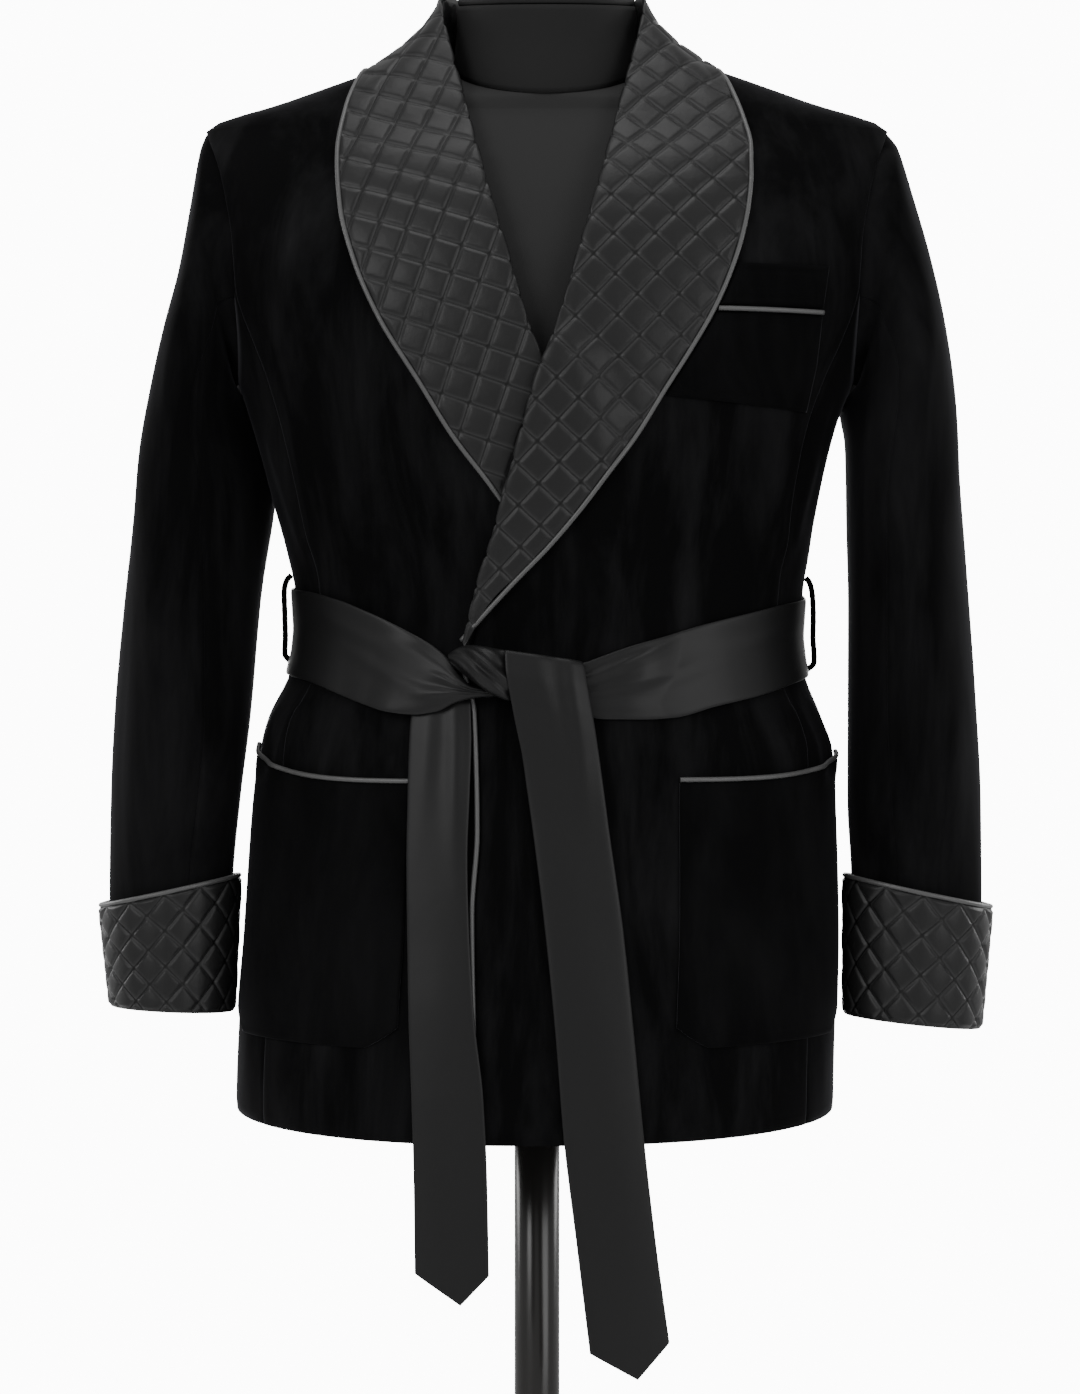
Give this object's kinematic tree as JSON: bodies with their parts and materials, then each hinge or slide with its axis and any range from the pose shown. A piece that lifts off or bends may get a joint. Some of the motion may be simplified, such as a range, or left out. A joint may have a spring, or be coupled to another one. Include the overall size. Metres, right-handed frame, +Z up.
{
  "type": "smoking jacket on dress form",
  "caption": "Velvet smoking jacket with quilted satin shawl collar and cuffs, patch pockets, piping and a tied satin belt, on a limbless dress form with a round stand.",
  "frame": {"origin": "middle of the underside of the round base", "axes": "+Z up, -Y the way the jacket faces, +X the wearer's left"},
  "size_m": [0.621, 0.36, 1.5132],
  "materials": {
    "velvet": "black cotton velvet with a short nap",
    "quilted_satin": "black satin, diamond quilted",
    "satin_piping": "black satin over cord",
    "belt_satin": "black satin, plain",
    "form_cloth": "black cloth cover, matt",
    "neck_cap_cloth": "black cloth cover, matt",
    "gloss_black": "gloss black paint"
  },
  "bodies": {
    "root": {"front_left": "velvet", "front_right": "velvet", "side_left": "velvet", "side_right": "velvet", "back": "velvet", "sleeve_top_left": "velvet", "sleeve_top_right": "velvet", "sleeve_under_left": "velvet", "sleeve_under_right": "velvet", "pocket_left": "velvet", "pocket_right": "velvet", "breast_pocket": "velvet", "breast_pocket_band": "velvet", "collar_left": "quilted_satin", "collar_right": "quilted_satin", "cuff_left": "quilted_satin", "cuff_right": "quilted_satin", "collar_piping_left": "satin_piping", "collar_piping_right": "satin_piping", "front_piping": "satin_piping", "cuff_piping_left": "satin_piping", "cuff_piping_right": "satin_piping", "pocket_piping_left": "satin_piping", "pocket_piping_right": "satin_piping", "breast_pocket_piping": "satin_piping", "belt_loop_left": "satin_piping", "belt_loop_right": "satin_piping", "belt_band": "belt_satin", "belt_knot": "belt_satin", "belt_tail_left": "belt_satin", "belt_tail_right": "belt_satin", "form_torso": "form_cloth", "form_neck": "form_cloth", "neck_cap": "neck_cap_cloth", "stand_pole": "gloss_black", "stand_base": "gloss_black"}
  },
  "joints": []
}
